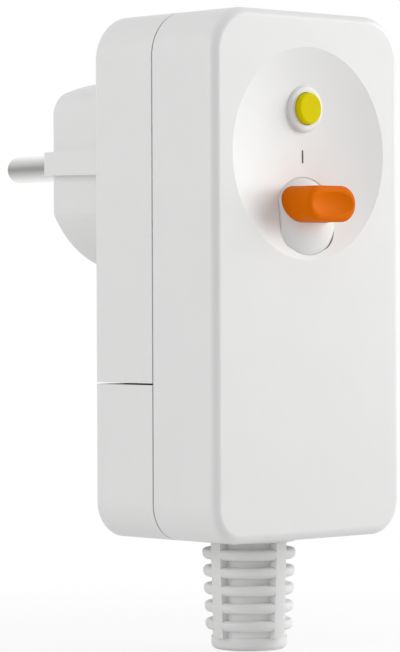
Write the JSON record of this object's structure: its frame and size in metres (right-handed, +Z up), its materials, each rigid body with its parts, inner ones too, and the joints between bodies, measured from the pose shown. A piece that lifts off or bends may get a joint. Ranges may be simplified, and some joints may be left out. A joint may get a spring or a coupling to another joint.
{
  "type": "plug-in residual current circuit breaker",
  "caption": "Plug-in residual current circuit breaker with a toggle lever, a test button, a rear earthed plug and a ribbed cable boot.",
  "frame": {"origin": "centre of the plug's end face, midway between the two pins, where the plug seats in its socket", "axes": "+Y along the pins, into the socket; -Y is the front with the dish, lever and button; +Z up, away from the cable boot; +X across the width"},
  "size_m": [0.0456, 0.0733, 0.1108],
  "materials": {
    "shell_white": "fine satin moulded thermoplastic, warm white",
    "boot_white": "soft flexible moulded plastic, satin white",
    "button_yellow": "smooth yellow moulded plastic",
    "lever_orange": "smooth orange moulded plastic",
    "mark_black": "printed dark mark",
    "pin_nickel": "nickel-plated brass, satin",
    "spring_steel": "drawn spring steel wire",
    "screw_steel": "zinc-plated steel",
    "brass": "plain brass",
    "copper_strip": "plain copper alloy strip",
    "mechanism_black": "black glass-filled moulding",
    "mechanism_grey": "grey moulded plastic",
    "core_grey": "coated ring core",
    "winding_copper": "enamelled copper wire",
    "board_green": "glass-epoxy board",
    "component_blue": "epoxy-coated component",
    "component_tan": "lacquered resistor body",
    "component_black": "moulded component body"
  },
  "bodies": {
    "casing": {"front_shell": "shell_white", "rear_shell": "shell_white", "terminal_cover": "shell_white", "cable_boot": "boot_white", "test_button_spring": "spring_steel", "spring_retainer": "mechanism_grey", "test_contacts": "copper_strip", "lever_axle": "screw_steel", "mechanism_base": "mechanism_black", "carriage_spring": "spring_steel", "line_supply_strip": "copper_strip", "neutral_supply_strip": "copper_strip", "line_load_strip": "copper_strip", "neutral_load_strip": "copper_strip", "coil_bobbin": "mechanism_black", "coil_winding": "winding_copper", "coil_yoke": "screw_steel", "transformer_core": "core_grey", "sensing_winding": "winding_copper", "circuit_board": "board_green", "smoothing_capacitor": "component_blue", "series_resistor": "component_tan", "surge_varistor": "component_blue", "control_chip": "component_black", "line_pin": "pin_nickel", "neutral_pin": "pin_nickel", "pin_carrier": "mechanism_grey", "upper_earth_clip": "pin_nickel", "lower_earth_clip": "pin_nickel", "earth_strap": "brass", "terminal_base": "mechanism_grey", "line_terminal": "brass", "earth_terminal": "brass", "neutral_terminal": "brass", "terminal_screws": "screw_steel", "clamp_bar": "mechanism_grey", "clamp_screws": "screw_steel", "housing_screws": "screw_steel", "cover_screws": "screw_steel", "on_mark": "mark_black"},
    "button": {"test_button": "button_yellow"},
    "lever": {"toggle_lever": "lever_orange", "lever_shutter": "shell_white"},
    "carriage": {"contact_carriage": "mechanism_grey", "contact_bridges": "copper_strip"},
    "plunger": {"trip_plunger": "screw_steel"},
    "latch": {"trip_latch": "mechanism_grey"}
  },
  "joints": [
    {"name": "test_button_press", "type": "slide", "parent": "casing", "child": "button", "axis": [0, 1, 0], "range_m": [0, 0.0012], "stiffness_N_per_m": 300, "springref_m": -0.001, "deforming": ["test_button_spring"]},
    {"name": "lever_turn", "type": "hinge", "parent": "casing", "child": "lever", "pos_m": [0, -0.0395, -0.0106], "axis": [1, 0, 0], "range_deg": [0, 26]},
    {"name": "carriage_slide", "type": "slide", "parent": "casing", "child": "carriage", "axis": [0, -1, 0], "range_m": [0, 0.0026], "deforming": ["carriage_spring"]},
    {"name": "latch_turn", "type": "hinge", "parent": "casing", "child": "latch", "pos_m": [0.00415, -0.02945, 0.0094], "axis": [0, 1, 0], "range_deg": [0, 9.55]},
    {"name": "plunger_slide", "type": "slide", "parent": "casing", "child": "plunger", "axis": [1, 0, 0], "range_m": [0, 0.001]}
  ],
  "couplings": [
    {"joint": "carriage_slide", "follows": "lever_turn", "m_per_rad": 0.0057296},
    {"joint": "latch_turn", "follows": "plunger_slide", "rad_per_m": 166.67}
  ]
}
